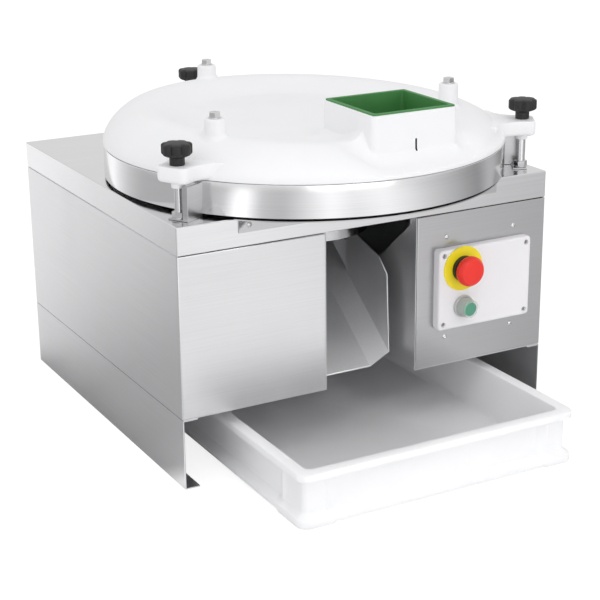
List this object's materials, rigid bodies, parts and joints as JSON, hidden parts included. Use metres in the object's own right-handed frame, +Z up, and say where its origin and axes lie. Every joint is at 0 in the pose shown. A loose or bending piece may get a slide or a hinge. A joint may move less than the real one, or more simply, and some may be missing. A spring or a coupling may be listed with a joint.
{
  "type": "dough rounder",
  "caption": "Countertop dough rounder: steel casing, turning plate in a fixed ring under a white lid with a hopper, chute, control box and a sliding dough tray.",
  "frame": {"origin": "on the turning plate's vertical axis, at the level of the table it stands on", "axes": "+Z up along the plate's axis, front of the machine towards -Y, +X to the right seen from the front"},
  "size_m": [0.5462, 0.698, 0.4555],
  "materials": {
    "sheet_steel": "satin brushed stainless sheet",
    "ring_steel": "polished stainless band",
    "turned_steel": "turned steel",
    "plate_aluminium": "turned aluminium",
    "fastener_steel": "bright zinc-plated steel",
    "bearing_steel": "ground bearing steel",
    "lid_white": "milky white polyethylene",
    "tray_white": "milky white polyethylene",
    "liner_green": "matte green plastic",
    "control_white": "fine-textured white plastic",
    "enclosure_grey": "grey plastic",
    "disc_yellow": "printed yellow plastic",
    "stop_red": "glossy red plastic",
    "black_plastic": "black plastic",
    "knob_black": "matte black plastic",
    "pulley_black": "black oxide steel",
    "bezel_grey": "grey plastic",
    "boot_clear": "clear silicone",
    "start_green": "green plastic",
    "motor_paint": "blue-grey paint",
    "belt_rubber": "black rubber"
  },
  "bodies": {
    "casing": {"left_skirt": "sheet_steel", "right_skirt": "sheet_steel", "rear_skirt": "sheet_steel", "base_deck": "sheet_steel", "left_side_panel": "sheet_steel", "right_side_panel": "sheet_steel", "back_panel": "sheet_steel", "top_cover": "sheet_steel", "drum_shelf": "sheet_steel", "left_front_cover": "sheet_steel", "right_front_panel": "sheet_steel", "recess_left_wall": "sheet_steel", "recess_right_wall": "sheet_steel", "recess_back_wall": "sheet_steel", "drop_chute": "sheet_steel", "ring_brackets": "sheet_steel", "motor_plate": "sheet_steel", "motor_posts": "sheet_steel", "drum_ring": "ring_steel", "bearing_housing": "turned_steel", "panel_screws": "fastener_steel", "housing_bolts": "fastener_steel", "clamp_studs": "fastener_steel", "stud_nuts": "fastener_steel", "motor_bolts": "fastener_steel", "control_cover_screws": "fastener_steel", "bearing_outer_race": "bearing_steel", "bearing_balls": "bearing_steel", "stud_sleeves": "lid_white", "gearmotor": "motor_paint", "drive_belt": "belt_rubber", "control_enclosure": "enclosure_grey", "control_cover": "control_white", "contact_blocks": "enclosure_grey", "estop_disc": "disc_yellow", "estop_collar": "black_plastic", "start_bezel": "bezel_grey", "start_boot": "boot_clear", "cable_gland": "black_plastic", "gland_nut": "black_plastic"},
    "rotor": {"rotor_plate": "plate_aluminium", "plate_screws": "fastener_steel", "rotor_hub": "plate_aluminium", "bearing_inner_race": "bearing_steel", "driven_pulley": "pulley_black"},
    "motor_rotor": {"motor_pulley": "pulley_black", "motor_shaft": "fastener_steel"},
    "lid_unit": {"lid": "lid_white", "hopper_liner": "liner_green", "spiral_guide": "lid_white", "guide_bolts": "fastener_steel"},
    "knob_fl": {"knob_front_left": "knob_black"},
    "knob_fr": {"knob_front_right": "knob_black"},
    "knob_bk": {"knob_rear": "knob_black"},
    "stop_plunger": {"estop_stem": "black_plastic"},
    "stop_cap": {"estop_head": "stop_red"},
    "start_plunger": {"start_button": "start_green"},
    "tray": {"dough_tray": "tray_white"}
  },
  "joints": [
    {"name": "plate_spin", "type": "hinge", "parent": "casing", "child": "rotor", "pos_m": [0, 0, 0.35], "axis": [0, 0, 1], "continuous": true},
    {"name": "motor_spin", "type": "hinge", "parent": "casing", "child": "motor_rotor", "pos_m": [0, 0.21675, 0.28], "axis": [0, 0, 1], "continuous": true},
    {"name": "lid_lift", "type": "slide", "parent": "casing", "child": "lid_unit", "axis": [0, 0, 1], "range_m": [0, 0.15]},
    {"name": "knob_front_left_turn", "type": "hinge", "parent": "lid_unit", "child": "knob_fl", "pos_m": [-0.25115, -0.145, 0.42], "axis": [0, 0, 1], "continuous": true},
    {"name": "knob_front_right_turn", "type": "hinge", "parent": "lid_unit", "child": "knob_fr", "pos_m": [0.25115, -0.145, 0.42], "axis": [0, 0, 1], "continuous": true},
    {"name": "knob_rear_turn", "type": "hinge", "parent": "lid_unit", "child": "knob_bk", "pos_m": [-0.03031, 0.28841, 0.42], "axis": [0, 0, 1], "continuous": true},
    {"name": "stop_push", "type": "slide", "parent": "casing", "child": "stop_plunger", "axis": [0, 1, 0], "range_m": [0, 0.004]},
    {"name": "stop_twist", "type": "hinge", "parent": "stop_plunger", "child": "stop_cap", "pos_m": [0.1305, -0.2, 0.22797], "axis": [0, 1, 0], "range_deg": [0, 45], "stiffness_Nm_per_rad": 0.05},
    {"name": "start_push", "type": "slide", "parent": "casing", "child": "start_plunger", "axis": [0, 1, 0], "range_m": [0, 0.003], "stiffness_N_per_m": 600},
    {"name": "tray_slide", "type": "slide", "parent": "casing", "child": "tray", "axis": [0, -1, 0], "range_m": [-0.094, 0.43]}
  ],
  "couplings": [
    {"joint": "motor_spin", "follows": "plate_spin", "ratio": 2.5}
  ]
}
